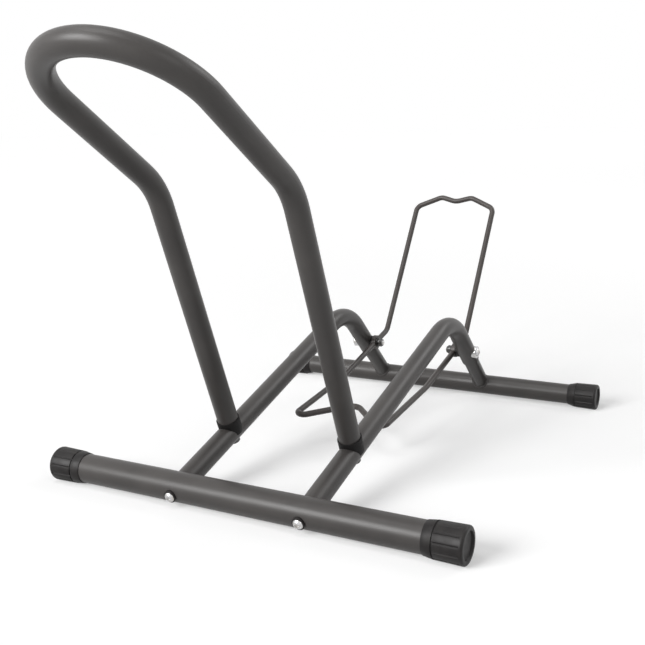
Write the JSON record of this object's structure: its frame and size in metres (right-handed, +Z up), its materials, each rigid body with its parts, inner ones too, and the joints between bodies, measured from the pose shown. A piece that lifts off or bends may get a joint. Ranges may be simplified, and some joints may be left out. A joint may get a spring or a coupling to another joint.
{
  "type": "floor bike rack",
  "caption": "Floor stand for a bicycle wheel: cross tubes with ribbed end caps, peaked side rails, a forward-leaning hoop and a swinging rod loop that cradles the tyre.",
  "frame": {"origin": "on the floor, under the middle of the bounding box at rest", "axes": "+X along the floor tubes, +Y from the hoop towards the end where the wheel rolls in, +Z up"},
  "size_m": [0.456, 0.7618, 0.4349],
  "materials": {
    "powder_coat": "satin powder coat",
    "rod_coat": "satin powder coat on thin rod",
    "black_plastic": "matt moulded",
    "zinc": "bright zinc plated",
    "black_zinc": "black zinc plated",
    "plain_steel": "plain turned steel"
  },
  "bodies": {
    "frame": {"front_bolt_left": "zinc", "front_bolt_right": "zinc", "front_cap_left": "black_plastic", "front_cap_right": "black_plastic", "front_crossbar": "powder_coat", "front_plug_left": "plain_steel", "front_plug_right": "plain_steel", "front_washer_left": "black_plastic", "front_washer_right": "black_plastic", "hoop": "powder_coat", "hoop_bolt_left": "black_zinc", "hoop_bolt_right": "black_zinc", "hoop_plug_left": "plain_steel", "hoop_plug_right": "plain_steel", "hoop_saddle_left": "black_plastic", "hoop_saddle_right": "black_plastic", "hoop_washer_left": "black_zinc", "hoop_washer_right": "black_zinc", "nut_washer_left": "black_zinc", "nut_washer_right": "black_zinc", "pivot_bolt_left": "zinc", "pivot_bolt_right": "zinc", "pivot_head_washer_left": "zinc", "pivot_head_washer_right": "zinc", "pivot_nut_left": "black_zinc", "pivot_nut_right": "black_zinc", "pivot_spacer_left": "black_plastic", "pivot_spacer_right": "black_plastic", "rear_cap_left": "black_plastic", "rear_cap_right": "black_plastic", "rear_crossbar": "powder_coat", "side_rail_left": "powder_coat", "side_rail_right": "powder_coat"},
    "loop": {"wheel_loop": "rod_coat"}
  },
  "joints": [
    {"name": "loop_swing", "type": "hinge", "parent": "frame", "child": "loop", "pos_m": [0, 0.22732, 0.07481], "axis": [1, 0, 0], "range_deg": [-66, 8]}
  ]
}
